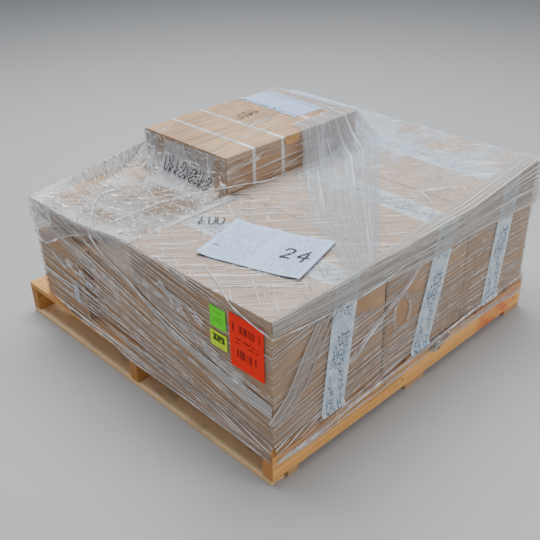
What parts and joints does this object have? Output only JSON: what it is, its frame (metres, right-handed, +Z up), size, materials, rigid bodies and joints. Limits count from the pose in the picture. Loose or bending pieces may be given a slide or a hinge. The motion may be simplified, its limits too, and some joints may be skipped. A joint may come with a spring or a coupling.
{
  "type": "shrink wrapped pallet load",
  "caption": "Film-wrapped load of brown cartons on a two-way timber pallet, with a strapped carton on top, packing tape, papers and shipping labels.",
  "frame": {"origin": "on the floor, under the middle of the pallet", "axes": "+Z up; +X along the stringers, from the left front face with the labels inwards; +Y along the deck boards, from the right front face inwards"},
  "size_m": [1.165, 1.165, 0.6044],
  "materials": {
    "pallet_timber": "sawn softwood",
    "carton_board": "matte kraft board",
    "strap_plastic": "white polypropylene strap",
    "packing_tape": "pale translucent tape",
    "stretch_film": "clear wrinkled film",
    "sheet_paper": "matte",
    "pouch_plastic": "clear pouch over white paper",
    "green_label": "fluorescent green",
    "yellow_label": "fluorescent yellow",
    "red_label": "fluorescent red"
  },
  "bodies": {
    "root": {"bottom_board_far": "pallet_timber", "bottom_board_middle": "pallet_timber", "bottom_board_near": "pallet_timber", "carton_back_far": "carton_board", "carton_back_middle": "carton_board", "carton_far": "carton_board", "carton_left_inner": "carton_board", "carton_left_outer": "carton_board", "carton_left_small": "carton_board", "carton_middle": "carton_board", "carton_near": "carton_board", "carton_top": "carton_board", "deck_board_1": "pallet_timber", "deck_board_2": "pallet_timber", "deck_board_3": "pallet_timber", "deck_board_4": "pallet_timber", "deck_board_5": "pallet_timber", "deck_board_6": "pallet_timber", "deck_board_7": "pallet_timber", "document_pouch": "pouch_plastic", "film_left_tent": "stretch_film", "film_side_wrap": "stretch_film", "film_top_cover": "stretch_film", "film_veil": "stretch_film", "label_green": "green_label", "label_red": "red_label", "label_yellow": "yellow_label", "paper_sheet": "sheet_paper", "strap_1": "strap_plastic", "strap_2": "strap_plastic", "strap_3": "strap_plastic", "stringer_left": "pallet_timber", "stringer_middle": "pallet_timber", "stringer_right": "pallet_timber", "tape_far": "packing_tape", "tape_middle": "packing_tape", "tape_near": "packing_tape"}
  },
  "joints": []
}
